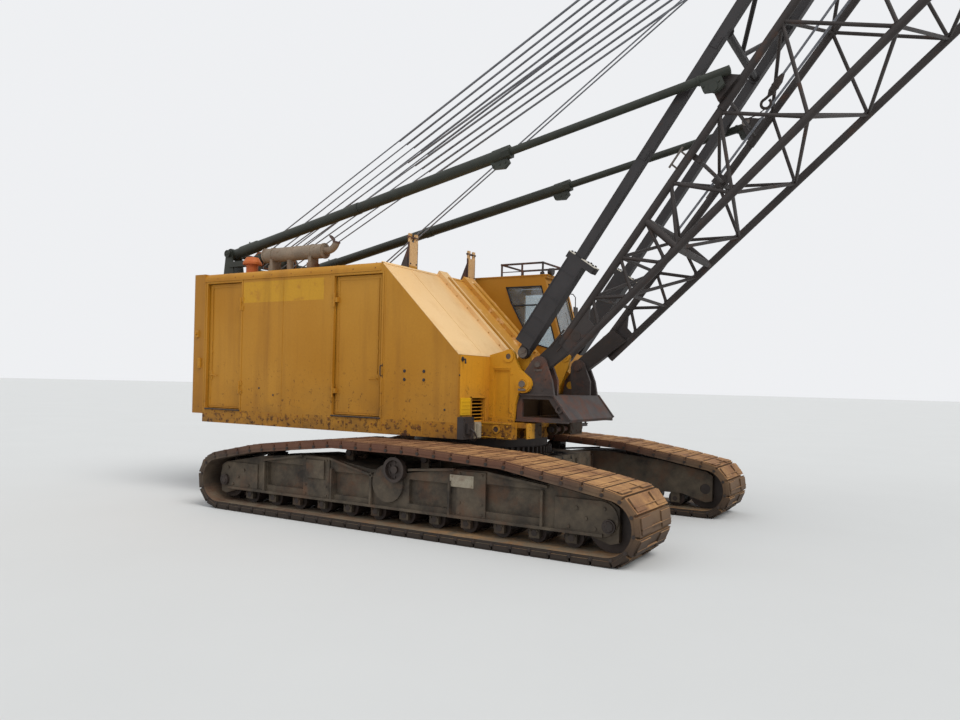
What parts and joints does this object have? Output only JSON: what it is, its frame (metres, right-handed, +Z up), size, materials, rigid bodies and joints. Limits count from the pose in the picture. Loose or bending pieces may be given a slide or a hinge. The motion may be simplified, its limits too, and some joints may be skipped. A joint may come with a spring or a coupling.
{
  "type": "crawler crane with lattice boom and live mast",
  "caption": "Crawler crane: an engine house with cab slews over two shoe tracks and luffs a lattice boom by a live mast, pendants and sliding backstop struts.",
  "frame": {"origin": "On the ground under the centre of swing.", "axes": "+X runs forward under the boom, +Y to the driver's left, +Z up."},
  "size_m": [20.8531, 5.08, 18.5484],
  "materials": {
    "weathered_yellow": "faded ochre paint with grime and rust runs",
    "pale_sheet": "sun-bleached ochre paint",
    "dark_steel": "dull black-brown paint with rust",
    "dark_green": "dull dark green paint",
    "worn_shoe": "rusty and worn",
    "grimy_frame": "greasy dirt over paint",
    "rusty_plate": "rusted sheet",
    "wire_rope": "greased dark strand",
    "window_glass": "dusty",
    "seat_vinyl": "matte"
  },
  "bodies": {
    "lower": {"carbody": "grimy_frame", "swing_ring": "dark_steel", "track_frame_right": "grimy_frame", "track_frame_left": "grimy_frame", "track_right": "worn_shoe", "track_left": "worn_shoe", "drive_tumblers": "grimy_frame", "idlers": "grimy_frame", "track_rollers": "dark_steel"},
    "upper": {"revolving_bed": "weathered_yellow", "front_lugs": "weathered_yellow", "boom_foot_frame": "dark_steel", "counterweight": "weathered_yellow", "house_side_right": "weathered_yellow", "house_side_left": "weathered_yellow", "house_roof": "weathered_yellow", "house_slope": "pale_sheet", "house_front": "weathered_yellow", "engine": "grimy_frame", "hoist_drums": "grimy_frame", "rear_gantry": "rusty_plate", "muffler": "rusty_plate", "cab_shell": "weathered_yellow", "cab_roof": "weathered_yellow", "cab_glass": "window_glass", "operator_seat": "seat_vinyl", "control_stand": "grimy_frame", "catwalk": "dark_steel"},
    "mast": {"mast_leg_right": "dark_steel", "mast_leg_left": "dark_steel", "mast_brace": "dark_steel", "mast_head": "dark_steel"},
    "boom": {"boom_butt": "dark_steel", "boom_insert": "dark_steel", "boom_top": "dark_steel"},
    "head_sheaves": {"head_sheaves": "grimy_frame"},
    "pendants": {"pendants": "wire_rope"},
    "hoist_ropes_low": {"hoist_ropes_low": "wire_rope"},
    "hoist_ropes_high": {"hoist_ropes_high": "wire_rope"},
    "backstop_tube_right": {"backstop_tube_right": "dark_green"},
    "backstop_rod_right": {"backstop_rod_right": "dark_green"},
    "backstop_tube_left": {"backstop_tube_left": "dark_green"},
    "backstop_rod_left": {"backstop_rod_left": "dark_green"},
    "door_right_rear": {"door_right_rear": "weathered_yellow"},
    "door_right_front": {"door_right_front": "weathered_yellow"},
    "door_left_rear": {"door_left_rear": "weathered_yellow"},
    "door_left_front": {"door_left_front": "weathered_yellow"},
    "cab_door": {"cab_door": "weathered_yellow", "cab_door_glass": "window_glass"}
  },
  "joints": [
    {"name": "swing", "type": "hinge", "parent": "lower", "child": "upper", "pos_m": [0, 0, 1.2], "axis": [0, 0, 1], "continuous": true},
    {"name": "boom_luff", "type": "hinge", "parent": "upper", "child": "boom", "pos_m": [1.39, 0, 2.28], "axis": [0, -1, 0], "range_deg": [-18, 32]},
    {"name": "mast_luff", "type": "hinge", "parent": "upper", "child": "mast", "pos_m": [1.13, 0, 2.45], "axis": [0, -1, 0], "range_deg": [-19.1, 34]},
    {"name": "pendant_pin", "type": "hinge", "parent": "boom", "child": "pendants", "pos_m": [15.23835, 0, 18.44367], "axis": [0, -1, 0], "range_deg": [-1.7, 1]},
    {"name": "head_sheave_spin", "type": "hinge", "parent": "boom", "child": "head_sheaves", "pos_m": [15.6138, 0, 18.18846], "axis": [0, 1, 0], "continuous": true},
    {"name": "hoist_rope_pivot", "type": "hinge", "parent": "upper", "child": "hoist_ropes_low", "pos_m": [-4.61, 0, 4.17], "axis": [0, -1, 0], "range_deg": [-12.4, 22]},
    {"name": "hoist_rope_slide", "type": "slide", "parent": "hoist_ropes_low", "child": "hoist_ropes_high", "axis": [0.8988, 0, 0.4383], "range_m": [-2.65, 1.5]},
    {"name": "backstop_pivot_right", "type": "hinge", "parent": "upper", "child": "backstop_tube_right", "pos_m": [-4.61, -1.02, 4.17], "axis": [0, -1, 0], "range_deg": [-6.5, 11.5]},
    {"name": "backstop_slide_right", "type": "slide", "parent": "backstop_tube_right", "child": "backstop_rod_right", "axis": [0.981, 0, 0.1942], "range_m": [-1.75, 0.99]},
    {"name": "backstop_pivot_left", "type": "hinge", "parent": "upper", "child": "backstop_tube_left", "pos_m": [-4.61, 1.02, 4.17], "axis": [0, -1, 0], "range_deg": [-6.5, 11.5]},
    {"name": "backstop_slide_left", "type": "slide", "parent": "backstop_tube_left", "child": "backstop_rod_left", "axis": [0.981, 0, 0.1942], "range_m": [-1.75, 0.99]},
    {"name": "door_right_rear_hinge", "type": "hinge", "parent": "upper", "child": "door_right_rear", "pos_m": [-3.635, -1.7143, 2.5], "axis": [0, 0, 1], "range_deg": [0, 100]},
    {"name": "door_right_front_hinge", "type": "hinge", "parent": "upper", "child": "door_right_front", "pos_m": [-1.615, -1.7143, 2.5], "axis": [0, 0, -1], "range_deg": [0, 100]},
    {"name": "door_left_rear_hinge", "type": "hinge", "parent": "upper", "child": "door_left_rear", "pos_m": [-3.635, 1.7143, 2.5], "axis": [0, 0, -1], "range_deg": [0, 100]},
    {"name": "door_left_front_hinge", "type": "hinge", "parent": "upper", "child": "door_left_front", "pos_m": [-1.615, 1.7143, 2.5], "axis": [0, 0, 1], "range_deg": [0, 100]},
    {"name": "cab_door_hinge", "type": "hinge", "parent": "upper", "child": "cab_door", "pos_m": [-0.335, 1.8643, 2.6], "axis": [0, 0, 1], "range_deg": [0, 100]}
  ],
  "couplings": [
    {"joint": "mast_luff", "follows": "boom_luff", "ratio": 1.06},
    {"joint": "pendant_pin", "follows": "boom_luff", "ratio": -0.05},
    {"joint": "hoist_rope_pivot", "follows": "boom_luff", "ratio": 0.67},
    {"joint": "hoist_rope_slide", "follows": "boom_luff", "m_per_rad": -4.5},
    {"joint": "backstop_pivot_right", "follows": "boom_luff", "ratio": 0.345},
    {"joint": "backstop_slide_right", "follows": "boom_luff", "m_per_rad": -3.1},
    {"joint": "backstop_pivot_left", "follows": "boom_luff", "ratio": 0.345},
    {"joint": "backstop_slide_left", "follows": "boom_luff", "m_per_rad": -3.1}
  ]
}
